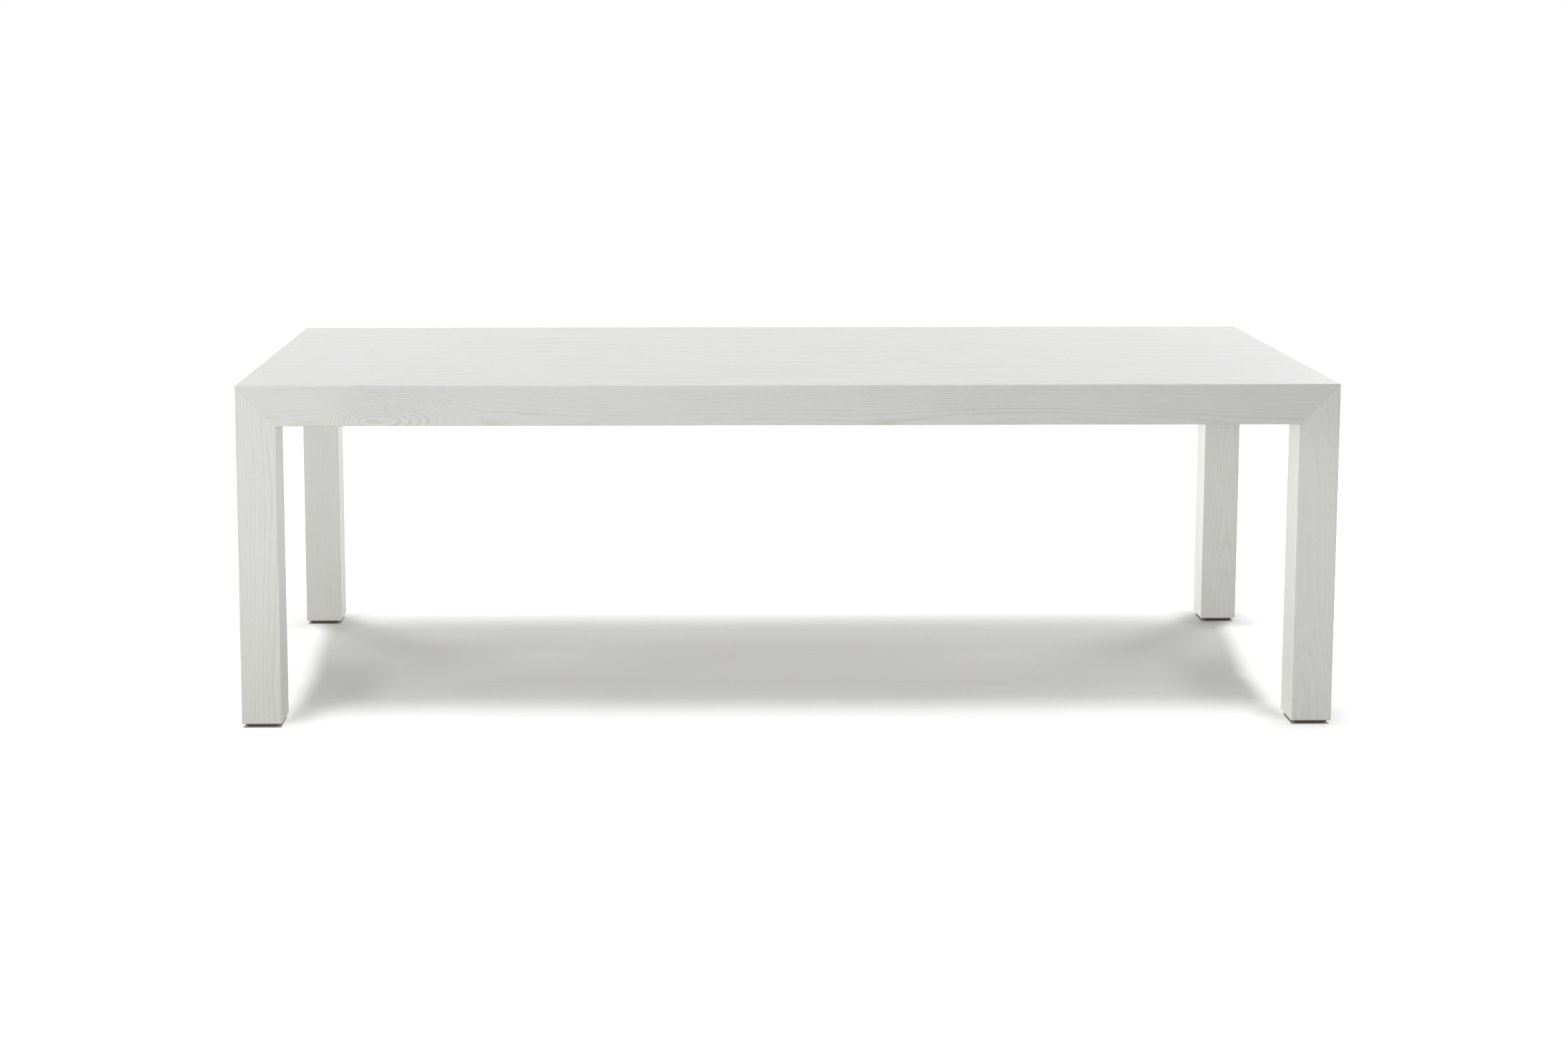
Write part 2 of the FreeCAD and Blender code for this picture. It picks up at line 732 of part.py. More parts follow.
def check_document():
    """Stop before anything is written if an object failed or a piece is not as it should be."""
    for item in doc.Objects:
        if "Invalid" in item.State or "Error" in item.State:
            raise ValueError(f"{item.Name} failed to compute")
    for name in SINGLE_PIECES + FASTENER_GROUPS:
        shape = doc.getObject(name).Shape
        if shape.isNull() or not shape.isValid():
            raise ValueError(f"{name} has no valid shape")
        if (len(shape.Solids) == 1) != (name in SINGLE_PIECES):
            raise ValueError(f"{name} has {len(shape.Solids)} solids")


def write_parts():
    os.makedirs("parts", exist_ok=True)
    for name in SINGLE_PIECES + FASTENER_GROUPS:
        piece = doc.getObject(name)
        piece.Label = name
        piece.Shape.exportStep(f"parts/{name}.step")


make_table()
doc.recompute()
check_document()
write_parts()
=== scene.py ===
import math
from collections import namedtuple

import bpy
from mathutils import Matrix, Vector


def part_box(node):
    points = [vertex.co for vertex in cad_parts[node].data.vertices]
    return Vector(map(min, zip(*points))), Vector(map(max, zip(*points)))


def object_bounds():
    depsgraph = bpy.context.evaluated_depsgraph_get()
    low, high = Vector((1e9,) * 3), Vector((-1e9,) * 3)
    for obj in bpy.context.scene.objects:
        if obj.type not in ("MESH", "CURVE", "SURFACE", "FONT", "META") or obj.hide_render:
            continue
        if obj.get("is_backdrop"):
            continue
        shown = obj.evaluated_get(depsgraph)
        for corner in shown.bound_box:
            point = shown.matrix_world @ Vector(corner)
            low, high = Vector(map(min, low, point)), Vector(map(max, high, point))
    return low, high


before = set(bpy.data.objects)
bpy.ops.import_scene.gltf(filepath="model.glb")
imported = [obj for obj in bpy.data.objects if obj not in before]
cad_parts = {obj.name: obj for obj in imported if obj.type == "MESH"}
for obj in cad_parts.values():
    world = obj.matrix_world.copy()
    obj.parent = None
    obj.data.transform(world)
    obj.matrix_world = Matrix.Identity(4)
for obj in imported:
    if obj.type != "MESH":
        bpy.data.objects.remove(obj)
cad_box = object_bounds()

# The looks of a parsons dining table in white limed ash. Its solids keep their shape, and each
# one gets the finish of what it is made of, worked out from the place in the wood or metal, so
# that the grain runs through a board and comes out on its edges and ends as in a real one.
# Lengths are in metres. X runs along the table, -Y is its front and Z is up.

TABLE_LOW, TABLE_HIGH = cad_box
HALF_LENGTH = TABLE_HIGH.x
HALF_WIDTH = TABLE_HIGH.y
HEIGHT = TABLE_HIGH.z
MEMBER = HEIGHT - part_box("front_apron")[0].z
FLOOR = TABLE_LOW.z
MM = 0.001


# ---- formulas made of shader nodes ---------------------------------------------------------

class Term:
    """A number that varies over a piece. Arithmetic on it adds shader nodes."""

    def __init__(self, finish, socket):
        self.finish = finish
        self.socket = socket

    def math(self, operation, *others):
        return self.finish.math(operation, self, *others)

    def __add__(self, other):
        return self.math("ADD", other)

    def __sub__(self, other):
        return self.math("SUBTRACT", other)

    def __mul__(self, other):
        return self.math("MULTIPLY", other)

    def __truediv__(self, other):
        return self.math("DIVIDE", other)

    __radd__ = __add__
    __rmul__ = __mul__

    def __rsub__(self, other):
        return self.finish.math("SUBTRACT", other, self)

    def size(self):
        return self.math("ABSOLUTE")

    def whole(self):
        return self.math("FLOOR")

    def part(self):
        return self.math("FRACT")

    def least(self, other):
        return self.math("MINIMUM", other)

    def most(self, other):
        return self.math("MAXIMUM", other)

    def rise(self, start, end):
        """0 before start, 1 after end and a smooth step between."""
        step = self.finish.add("ShaderNodeMapRange", interpolation_type="SMOOTHSTEP")
        self.finish.join(self, step.inputs["Value"])
        self.finish.join(start, step.inputs["From Min"])
        self.finish.join(end, step.inputs["From Max"])
        return Term(self.finish, step.outputs["Result"])

    def fall(self, start, end):
        """1 before start and 0 after end."""
        return 1 - self.rise(start, end)

    def hill(self, start, crest, brow, end):
        """0 before start and after end, and 1 from crest to brow."""
        return self.rise(start, crest) * self.fall(brow, end)


class Finish:
    """The shader nodes of one finish, from the place on a piece to its colour and relief."""

    def __init__(self, name):
        self.material = bpy.data.materials.new(name)
        self.material.use_nodes = True
        self.tree = self.material.node_tree
        self.tree.nodes.clear()
        where = self.add("ShaderNodeTexCoord")
        split = self.add("ShaderNodeSeparateXYZ")
        self.tree.links.new(where.outputs["Object"], split.inputs[0])
        self.place = {axis: Term(self, split.outputs[axis]) for axis in "XYZ"}

    def add(self, kind, **settings):
        node = self.tree.nodes.new(kind)
        for name, value in settings.items():
            setattr(node, name, value)
        return node

    def join(self, value, socket):
        """A term is linked to the socket, and a plain number or colour is set on it."""
        if isinstance(value, Term):
            self.tree.links.new(value.socket, socket)
        else:
            socket.default_value = value

    def math(self, operation, *values):
        node = self.add("ShaderNodeMath", operation=operation)
        for value, socket in zip(values, node.inputs):
            self.join(value, socket)
        return Term(self, node.outputs[0])

    def length(self, first, second):
        return (first * first + second * second).math("SQRT")

    def noise(self, x, y, z, detail=2.0, roughness=0.5):
        """Smooth noise about 0, from about -0.5 to 0.5. There is one lump for each whole step of
        x, y and z."""
        point = self.add("ShaderNodeCombineXYZ")
        for value, socket in zip((x, y, z), point.inputs):
            self.join(value, socket)
        node = self.add("ShaderNodeTexNoise")
        self.tree.links.new(point.outputs[0], node.inputs["Vector"])
        node.inputs["Scale"].default_value = 1.0
        node.inputs["Detail"].default_value = detail
        node.inputs["Roughness"].default_value = roughness
        return Term(self, node.outputs["Fac"]) - 0.5

    def chance(self, number):
        """A number from 0 to 1 that jumps with each whole number."""
        node = self.add("ShaderNodeTexWhiteNoise", noise_dimensions="1D")
        self.join(number, node.inputs["W"])
        return Term(self, node.outputs["Value"])

    def tint(self, factor, first, second):
        """The first colour where the factor is 0 and the second where it is 1."""
        node = self.add("ShaderNodeMix", data_type="RGBA")
        self.join(factor, node.inputs["Factor"])
        for value, name in ((first, "A_Color"), (second, "B_Color")):
            socket = next(one for one in node.inputs if one.identifier == name)
            self.join(value if isinstance(value, Term) else (*value, 1.0), socket)
        result = next(one for one in node.outputs if one.identifier == "Result_Color")
        return Term(self, result)

    def surface(self, colour, roughness, relief, **constants):
        """Ends the finish: colour, roughness, and relief as a height in metres."""
        shader = self.add("ShaderNodeBsdfPrincipled")
        bump = self.add("ShaderNodeBump")
        bump.inputs["Distance"].default_value = 1.0
        self.join(relief, bump.inputs["Height"])
        self.tree.links.new(bump.outputs["Normal"], shader.inputs["Normal"])
        self.join(colour, shader.inputs["Base Color"])
        self.join(roughness, shader.inputs["Roughness"])
        for name, value in constants.items():
            shader.inputs[name.replace("_", " ")].default_value = value
        output = self.add("ShaderNodeOutputMaterial")
        self.tree.links.new(shader.outputs[0], output.inputs["Surface"])
        return self.material


# ---- wood ----------------------------------------------------------------------------------

# How a board was sawn: the axis that the grain follows, the axes across and into its face, where
# the heart of the tree lies on those two, the width of a year's ring, a number that tells the
# board from the others, and its crowns. At a crown the heart line bulges towards the face, so that
# the rings come out there as arches one inside the other. The bulge grows from start to crest,
# stays until brow and is gone at end.
Board = namedtuple("Board", "along across into heart ring number crowns")
Crown = namedtuple("Crown", "start crest brow end bulge")
WoodPattern = namedtuple("WoodPattern", "early pores fibre cloud")

# how many lumps each noise has in a metre, along the grain and across it
WANDER_UP_LUMPS = (0.9, 3.0)
WANDER_IN_LUMPS = (0.8, 3.0)
RIPPLE_LUMPS = (7.0, 45.0)
CLEAR_LUMPS = (6.0, 28.0)
PORE_LUMPS = (55.0, 1500.0)
FIBRE_LUMPS = (12.0, 330.0)
CLOUD_LUMPS = (2.5, 9.0)

WANDER_UP = 50 * MM           # how far the heart line strays across the board
WANDER_IN = 60 * MM           # and into it
RIPPLE = 3.5 * MM             # how far a ring strays from a true circle
EARLY_END = 0.55              # the part of a ring over which its early wood thins out
NEXT_EARLY = 0.84             # the part from which the next ring's early wood begins to show
BOLD_BY_YEAR = 0.6            # how bold a ring can be by its year,
BOLD_BY_PLACE = 0.6           # by the place on the board,
BOLD_AT_CROWN = 20.0          # and at a crown, for each metre that it bulges
CLEAR = (-0.22, 0.24)         # the noise where the rings are faint, and where they are clear
EARLY_PORES = (0.02, 0.10)    # the noise where a pore begins and is whole, within early wood
LONE_PORES = (0.20, 0.26)     # and anywhere
BOARD_SHIFT = 7.3             # how far apart two boards lie in the noise, so that none are alike
BOARD_YEARS = 31              # and how many years apart


def ring_pattern(finish, board, place):
    """The yearly rings, pores and fibres of ring-porous wood.

    A ring is every point at one distance from the heart line. The heart line wanders slowly along
    the tree and the rings ripple a little. Each ring starts with a band of open pores, the early
    wood, that thins out into dense late wood. It is bolder in some years and places than in
    others, and boldest at a crown. Pores are short fine tubes along the grain.
    """
    shift = board.number * BOARD_SHIFT
    run = place[board.along]
    height = place[board.across] - board.heart[0]
    depth = place[board.into] - board.heart[1]
    bold = 0.0
    for crown in board.crowns:
        swell = run.hill(crown.start, crown.crest, crown.brow, crown.end)
        depth = depth - swell * crown.bulge
        bold = swell * abs(crown.bulge) * BOLD_AT_CROWN + bold

    def lumps(scale, offset, detail=2.0):
        """Noise drawn out along the grain."""
        along, across = scale
        return finish.noise(run * along + offset, height * across, depth * across, detail)

    heart_up = height + lumps(WANDER_UP_LUMPS, shift) * WANDER_UP
    heart_in = depth + lumps(WANDER_IN_LUMPS, -shift) * WANDER_IN
    ripple = lumps(RIPPLE_LUMPS, shift) * RIPPLE
    years = (finish.length(heart_up, heart_in) + ripple) / board.ring
    age = years.part()
    clear = lumps(CLEAR_LUMPS, -shift).rise(*CLEAR)
    chance = finish.chance(years.whole() + board.number * BOARD_YEARS)
    strength = chance * BOLD_BY_YEAR + clear * BOLD_BY_PLACE + bold
    early = (age.fall(0.0, EARLY_END) + age.rise(NEXT_EARLY, 1.0)) * strength
    tubes = lumps(PORE_LUMPS, shift, detail=1.0)
    pores = tubes.rise(*EARLY_PORES) * early + tubes.rise(*LONE_PORES)
    fibre = lumps(FIBRE_LUMPS, shift, detail=3.0)
    cloud = lumps(CLOUD_LUMPS, shift, detail=3.0)
    return WoodPattern(early, pores, fibre, cloud)


def arris_distance(finish, node):
    """How far a point on a piece is from the nearest edge of its box. On a face one of its
    distances from the three pairs of sides is nil, so the middle one of the three is wanted."""
    low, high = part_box(node)
    gaps = []
    for axis, near, far in zip("XYZ", low, high):
        gaps.append((finish.place[axis] - near).least(far - finish.place[axis]))
    first, second, third = gaps
    return first.least(second).most(first.most(second).least(third))


def mitre_distance(finish):
    """How far a point is from the nearest mitre. Every mitre lies where the depth below the top
    equals the depth in from an end or from a side of the table."""
    down = HEIGHT - finish.place["Z"]
    from_end = HALF_LENGTH - finish.place["X"].size()
    from_side = HALF_WIDTH - finish.place["Y"].size()
    return (from_end - down).size().least((from_side - down).size()) * math.sqrt(0.5)


# how much of the bare ash shows through the lime on each thing
BARE_ON = {"early": 0.11, "pores": 0.14, "fibre": 0.14, "cloud": 0.06, "edge": 0.08, "mitre": 0.55}
PORE_DEPTH = 0.05 * MM
EARLY_DEPTH = 0.012 * MM
MITRE_DEPTH = 0.08 * MM
MITRE_LINE = (0.10 * MM, 0.50 * MM)   # how far from a mitre its line begins to fade and is gone
WORN_EDGE = (0.4 * MM, 2.6 * MM)      # the same for the rubbed lime along an edge
MITRE_LUMPS = 40.0                    # in a metre: a mitre is tighter in one place than another
MITRE_TIGHT = (-0.25, 0.20)           # the noise where it is least tight, and where it is tightest
MITRE_TIGHTNESS = 0.55                # how much fainter its line is there


def lime_coat(finish, node, wood, white, grain, shade):
    """White lime under a matt lacquer: the pigment covers the dense wood and lies thinner in the
    open pores, which stay a little sunken. It is rubbed thin at the edges, and each mitre shows as
    a hairline. The grain number says how plainly the wood shows through, and shade how much
    darker the whole coat is: a top board's own random tone, and painted shade on the legs, the
    long aprons and the middle of the top."""
    worn = arris_distance(finish, node).fall(*WORN_EDGE)
    lumps = finish.noise(*(part * MITRE_LUMPS for part in finish.place.values()))
    tight = lumps.rise(*MITRE_TIGHT)
    mitre = mitre_distance(finish).fall(*MITRE_LINE) * (1 - tight * MITRE_TIGHTNESS)
    bare_and_shade = wood.early * BARE_ON["early"] + wood.pores * BARE_ON["pores"]
    # shade adds painted shade here, and on the top's boards their random tone too
    bare_and_shade = (bare_and_shade + wood.fibre * BARE_ON["fibre"]) * grain + wood.cloud * BARE_ON["cloud"] + shade
    bare_and_shade = bare_and_shade + worn * BARE_ON["edge"] + mitre * BARE_ON["mitre"]
    roughness = 0.50 + wood.pores * 0.14 + wood.cloud * 0.10 - worn * 0.06
    relief = wood.pores * -PORE_DEPTH + wood.early * -EARLY_DEPTH + mitre * -MITRE_DEPTH
    return finish.surface(finish.tint(bare_and_shade, white, BARE_ASH), roughness, relief)


def limed_ash_apron(node, board):
    """A long apron grows a little darker towards its right end, which is painted shade, and its
    grain is plainer on the left."""
    finish = Finish("limed_ash_" + node)
    shade, grain = 0.0, APRON_GRAIN
    if board.along == "X":
        # painted shade: the long apron darker towards its right end
        shade = finish.place["X"] * APRON_PAINTED_SHADE
        grain = finish.place["X"].fall(*PLAIN_GRAIN_END) * PLAIN_GRAIN + APRON_GRAIN
    white = [LIME_ON_APRONS * part for part in LIME]
    wood = ring_pattern(finish, board, finish.place)
    return lime_coat(finish, node, wood, white, grain, shade)


def limed_ash_leg(node, board, lime):
    """A leg is darker at its head and at its foot, which is painted shade."""
    finish = Finish("limed_ash_" + node)
    up = finish.place["Z"]
    # painted shade: the leg darker towards its head and towards its foot
    shade = up.rise(*LEG_HEAD_PAINTED_SHADE) * lime.head + up.fall(*LEG_FOOT_PAINTED_SHADE) * lime.foot
    white = [lime.share * part for part in LIME]
    wood = ring_pattern(finish, board, finish.place)
    return lime_coat(finish, node, wood, white, lime.grain, shade)


def limed_ash_top(node):
    """Boards of one width lie side by side, each sawn from another part of a tree. The top is a
    little darker in the middle of the table, which is painted shade."""
    finish = Finish("limed_ash_" + node)
    across = finish.place["Y"] / TOP_BOARD
    count = across.whole()
    chances = (finish.chance(count + turn) for turn in (5, 17, 29))
    along_tree, beside_heart, shade_of_board = chances
    place = dict(finish.place)
    place["X"] = place["X"] + along_tree * TREE_LENGTH
    place["Y"] = (across.part() - 0.5) * TOP_BOARD + (beside_heart - 0.5) * TOP_HEARTS_APART
    board = Board("X", "Y", "Z", (0.0, HEIGHT - TOP_HEART), TOP_RING, 3, ())
    shade = (shade_of_board - 0.5) * TOP_BOARDS_DIFFER
    # painted shade: the top darker in the middle of the table
    shade = shade + finish.place["X"].size().fall(*TOP_MIDDLE) * TOP_MIDDLE_PAINTED_SHADE
    wood = ring_pattern(finish, board, place)
    return lime_coat(finish, node, wood, LIME_ON_TOP, TOP_GRAIN, shade)


PLANED_FUZZ = 0.03 * MM      # how high the fibres stand on planed timber
KNIFE_WAVE = 0.002 * MM      # and the waves of the planer's knives


def bare_wood(name, board, light, dark, knife_step):
    """Unstained planed timber, with its rings in plain sight and the faint waves that a planer's
    knives leave across the grain."""
    finish = Finish(name)
    wood = ring_pattern(finish, board, finish.place)
    waves = (finish.place[board.along] * (2 * math.pi / knife_step)).math("SINE")
    mark = wood.early * 0.55 + wood.pores * 0.35 + wood.fibre * 0.5 + wood.cloud * 0.4
    colour = finish.tint(mark, light, dark)
    roughness = 0.66 + wood.pores * 0.12 + wood.fibre * 0.1
    relief = wood.pores * -PORE_DEPTH + wood.fibre * PLANED_FUZZ + waves * KNIFE_WAVE
    return finish.surface(colour, roughness, relief)


# ---- plywood, plastic and plated steel -----------------------------------------------------

# how many lumps each noise has in a metre
PLY_LUMPS = (60.0, 900.0)
MOULD_LUMPS = 2500.0
BLOTCH_LUMPS = (90.0, 300.0)
CRYSTAL_LUMPS = 1400.0
TARNISH_LUMPS = 130.0

PLY_PAIR = 1.3 * MM          # the thickness of two veneers
PLY_FUZZ = 0.04 * MM
SCUFF_HEIGHT = 2.5 * MM
MOULD_DEPTH = 0.03 * MM
CRYSTAL_DEPTH = 0.006 * MM


def birch_ply():
    """Thin birch veneers one on another, every second one showing its end grain."""
    finish = Finish("birch_ply_strip")
    down = HEIGHT - finish.place["Z"]
    inward = HALF_WIDTH - finish.place["Y"].size()
    layer = ((inward + down) / PLY_PAIR).part()
    x, y, z = (finish.place[axis] for axis in "XYZ")
    along, across = PLY_LUMPS
    fibre = finish.noise(x * along, y * across, z * across)
    veneer, end_grain = (0.66, 0.52, 0.35), (0.42, 0.29, 0.17)
    colour = finish.tint(layer.rise(0.45, 0.55) * 0.6 + fibre * 0.5, veneer, end_grain)
    return finish.surface(colour, 0.7 + fibre * 0.2, fibre * PLY_FUZZ)


def glide_plastic():
    """Dark moulded plastic with the fine grain of its mould, scuffed pale near the floor."""
    finish = Finish("glide_plastic_moulded")
    x, y, z = (finish.place[axis] for axis in "XYZ")
    grain = finish.noise(x * MOULD_LUMPS, y * MOULD_LUMPS, z * MOULD_LUMPS, detail=3.0)
    level, upright = BLOTCH_LUMPS
    blotch = finish.noise(x * level, y * level, z * upright, detail=4.0, roughness=0.65)
    scuff = z.fall(FLOOR, FLOOR + SCUFF_HEIGHT) * blotch.rise(-0.05, 0.12)
    brown, scuffed = (0.095, 0.082, 0.060), (0.20, 0.18, 0.14)
    colour = finish.tint(scuff * 0.5 + grain * 0.15, brown, scuffed)
    return finish.surface(colour, 0.55 + scuff * 0.2 + grain * 0.15, grain * MOULD_DEPTH)


def plated_steel(name, bright, dull, tarnish):
    """Zinc-plated steel: a fine crystal pattern with duller patches."""
    finish = Finish(name)
    place = finish.place.values()
    crystal = finish.noise(*(part * CRYSTAL_LUMPS for part in place), detail=3.0)
    patch = finish.noise(*(part * TARNISH_LUMPS for part in place), detail=3.0)
    colour = finish.tint((patch + 0.5) * tarnish + crystal * 0.25, bright, dull)
    roughness = 0.34 + patch * 0.22 + crystal * 0.10
    return finish.surface(colour, roughness, crystal * CRYSTAL_DEPTH, Metallic=1.0)


# ---- which finish each piece gets ----------------------------------------------------------

SIDES = ("front", "rear", "left", "right")
CORNERS = ("front_left", "front_right", "rear_left", "rear_right")

BARE_ASH = (0.43, 0.415, 0.37)
LIME_ON_TOP = (0.715, 0.715, 0.710)
LIME = (0.731, 0.735, 0.704)
LIME_ON_APRONS = 0.96         # how white it is there against LIME
APRON_PAINTED_SHADE = 0.07            # painted shade: how much darker it grows for each metre to the right

# how plainly the grain shows through the lime
TOP_GRAIN = 1.5
APRON_GRAIN = 1.35
PLAIN_GRAIN = 0.60            # what a long apron has more of it on its left
PLAIN_GRAIN_END = (0.2, 0.9)  # where that begins to fade and is gone, along X

# the top: the width of its boards, how deep the heart lies under their faces, how far two hearts
# lie apart at most across their boards, and the length of tree that the boards are sawn from
TOP_BOARD = 0.2
TOP_RING = 3.6 * MM
TOP_HEART = 75 * MM
TOP_HEARTS_APART = 80 * MM
TREE_LENGTH = 9.0
TOP_BOARDS_DIFFER = 0.03      # how much thinner the lime is on one board than on another, at most
TOP_MIDDLE_PAINTED_SHADE = 0.11        # and painted shade: how much darker the middle of the table is than its ends
TOP_MIDDLE = (0.15, 1.15)     # how far from the middle that begins to fade and is gone

APRON_RING = 4.6 * MM
APRON_HEART = 52 * MM         # how far the heart lies behind an apron's face

# each crown's start, crest, brow and end along the apron, and how far it bulges to the face
APRON_CROWNS = {
    "front": ((-1.02, -0.905, -0.885, -0.65, 0.040), (0.02, 0.50, 0.54, 1.05, 0.012)),
    "rear": ((-0.70, -0.42, -0.36, 0.10, 0.020), (0.45, 0.78, 0.84, 1.00, 0.026)),
    "left": ((-0.10, 0.10, 0.14, 0.38, 0.020),),
    "right": ((-0.36, -0.20, -0.16, 0.20, 0.024),),
}

# how far the heart lies from the middle of each leg, to the right and towards the table's middle
LEG_HEARTS = {
    "front_left": (0.090, 0.085),
    "front_right": (-0.012, 0.085),
    "rear_left": (-0.080, 0.080),
    "rear_right": (0.020, 0.090),
}
LEG_RING = 4.4 * MM
LEG_CROWN = (-0.05, 0.03, 0.05, 0.26)  # its start, crest, brow and end, up from the floor
LEG_CROWN_BULGE = 6 * MM
LEG_HEAD_PAINTED_SHADE = (0.58, 0.72)       # over which height a leg grows darker to its head, painted shade
LEG_FOOT_PAINTED_SHADE = (0.0, 0.45)        # and to its foot, painted shade too

# how white the lime is on each leg against LIME, how much painted shade darkens the leg at its
# head and at its foot, and how plainly the grain shows through it
Lime = namedtuple("Lime", "share head foot grain")
LIME_ON_LEGS = {
    "front_left": Lime(1.00, 0.0, 0.26, 1.3),
    "front_right": Lime(1.09, 0.20, 0.14, 0.8),
    "rear_left": Lime(0.97, 0.0, 0.10, 1.1),
    "rear_right": Lime(1.12, 0.06, 0.06, 1.3),
}


def apron_board(side, number):
    """Aprons are sawn with their grain along the board, and the heart lies behind the face."""
    lengthwise = side in ("front", "rear")
    reach = HALF_WIDTH if lengthwise else HALF_LENGTH
    outwards = -1 if side in ("front", "left") else 1
    crowns = [Crown(*places, outwards * bulge) for *places, bulge in APRON_CROWNS[side]]
    heart = (HEIGHT - MEMBER, outwards * (reach - APRON_HEART))
    along, into = ("X", "Y") if lengthwise else ("Y", "X")
    return Board(along, "Z", into, heart, APRON_RING, number, crowns)


def leg_board(corner, number):
    """Legs have upright grain, and the heart lies outside the leg."""
    low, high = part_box(corner + "_leg")
    middle = (low + high) / 2
    outwards = math.copysign(1, middle.y)
    aside, behind = LEG_HEARTS[corner]
    heart = (middle.x + aside, middle.y - outwards * behind)
    crowns = [Crown(*LEG_CROWN, outwards * LEG_CROWN_BULGE)]
    return Board("Z", "X", "Y", heart, LEG_RING, number, crowns)


def paint(node, material):
    """Gives every face of a solid one finish."""
    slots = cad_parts[node].data.materials
    slots.clear()
    slots.append(material)


def finish_table():
    paint("top_panel", limed_ash_top("top_panel"))
    for number, side in enumerate(SIDES, start=1):
        node = side + "_apron"
        paint(node, limed_ash_apron(node, apron_board(side, number)))
    for number, corner in enumerate(CORNERS, start=11):
        node = corner + "_leg"
        paint(node, limed_ash_leg(node, leg_board(corner, number), LIME_ON_LEGS[corner]))


# the plain timber of the blocks and rails, light and dark, and the beech of the dowels
FRAME_WOOD = ((0.66, 0.56, 0.40), (0.42, 0.30, 0.17))
FRAME_RING = 2.6 * MM
FRAME_KNIVES = 1.6 * MM       # how far apart the waves of the planer's knives lie
BLOCK_HEART = 0.15            # how far the heart lies below the top of the table
RAIL_HEART = 0.20
RAIL_HEART_ASIDE = 10 * MM
BEECH = ((0.62, 0.44, 0.28), (0.46, 0.29, 0.16))
BEECH_RING = 1.8 * MM
BEECH_KNIVES = 4 * MM

# zinc, bright and dull, and how much of it is dull
BRIGHT_ZINC = ((0.66, 0.67, 0.68), (0.46, 0.47, 0.49), 0.6)
YELLOW_ZINC = ((0.68, 0.58, 0.34), (0.50, 0.44, 0.36), 0.9)


def finish_frame():
    """The blocks and rails that hold the table together, each sawn from another board."""
    for number, corner in enumerate(CORNERS, start=21):
        node = corner + "_block"
        board = Board("X", "Z", "Y", (HEIGHT - BLOCK_HEART, 0.0), FRAME_RING, number, ())
        paint(node, bare_wood("planed_" + node, board, *FRAME_WOOD, FRAME_KNIVES))
    for number, place in enumerate(("left", "middle", "right"), start=31):
        node = place + "_rail"
        low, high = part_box(node)
        heart = ((low.x + high.x) / 2 + RAIL_HEART_ASIDE, HEIGHT - RAIL_HEART)
        board = Board("Y", "X", "Z", heart, FRAME_RING, number, ())
        paint(node, bare_wood("planed_" + node, board, *FRAME_WOOD, FRAME_KNIVES))


def finish_fittings():
    """Dowels, splines, glides, bolts and screws."""
    beech = Board("X", "Y", "Z", (0.0, 0.0), BEECH_RING, 41, ())
    beech_finish = bare_wood("beech_dowel_wood", beech, *BEECH, BEECH_KNIVES)
    for node in ("mitre_dowels", "rail_dowels"):
        paint(node, beech_finish)
    ply = birch_ply()
    for side in SIDES:
        paint(side + "_spline", ply)
    plastic = glide_plastic()
    for corner in CORNERS:
        paint(corner + "_glide", plastic)
    bright_zinc = plated_steel("bright_zinc_plate", *BRIGHT_ZINC)
    for node in ("hanger_bolts", "bolt_washers", "bolt_nuts"):
        paint(node, bright_zinc)
    yellow_zinc = plated_steel("yellow_zinc_plate", *YELLOW_ZINC)
    for node in ("block_screws", "top_screws", "glide_screws"):
        paint(node, yellow_zinc)


# ---- floor, light and camera ---------------------------------------------------------------

FLOOR_REACH = 30.0
FLOOR_COLOUR = (0.55, 0.55, 0.54)
WHITE = (1.0, 1.0, 1.0)
WARM_WHITE = (1.0, 1.0, 0.96)
WORLD_LIGHT = 0.12

# how strongly the floor glows for the eye under the table, around it and from FAR on
GLOW_UNDER = 0.25
GLOW_AROUND = 0.72
GLOW_FAR = 1.0
FAR = (2.0, 5.0)

# The shade under the table: where its ends, its front and its rear lie, and how far it fades to
# each side of them. Behind SPREAD_FROM its ends spread by SPREAD for each metre to the rear, and
# by SPREAD_RIGHT more for each metre to the right. Along BY_LEGS it begins to reach FORWARD at the
# front, less FORWARD_RIGHT for each metre to the right.
SHADE_END, END_FADE = HALF_LENGTH - 0.084, 0.035
SHADE_FRONT, FRONT_FADE = -HALF_WIDTH + 0.14, 0.11
SHADE_REAR, REAR_FADE = HALF_WIDTH - 0.04, 0.13
SPREAD_FROM, SPREAD, SPREAD_RIGHT = -0.1, 0.105, 0.02
BY_LEGS, FORWARD, FORWARD_RIGHT = (0.98, 1.10), 0.035, 0.015

# how much paler it is between the middle and the ends, and how much darker before the rear legs
PALER, PALER_ASIDE, PALER_BEHIND = 0.035, (0.25, 0.65, 0.75, 1.0), (0.05, 0.25)
DARKER, DARKER_ASIDE, DARKER_BEHIND = 0.07, (0.90, 1.0), (-0.05, 0.15)

# The dark around a foot: how far it reaches, how dark it is, and how much darker for each metre to
# the rear, for each metre to the right, and in the table's shade. On the inner side of a front leg
# it is nearly as dark as in the shade.
FOOT_REACH = 0.09
FOOT_DARK, FOOT_DARK_REAR, FOOT_DARK_RIGHT, FOOT_DARK_IN_SHADE = 0.22, 0.17, 0.073, 0.32
BETWEEN_LEGS = 0.8
BETWEEN_ASIDE, BETWEEN_BEHIND = (1.095, 1.12), (-0.48, -0.43, -0.3, 0.1)

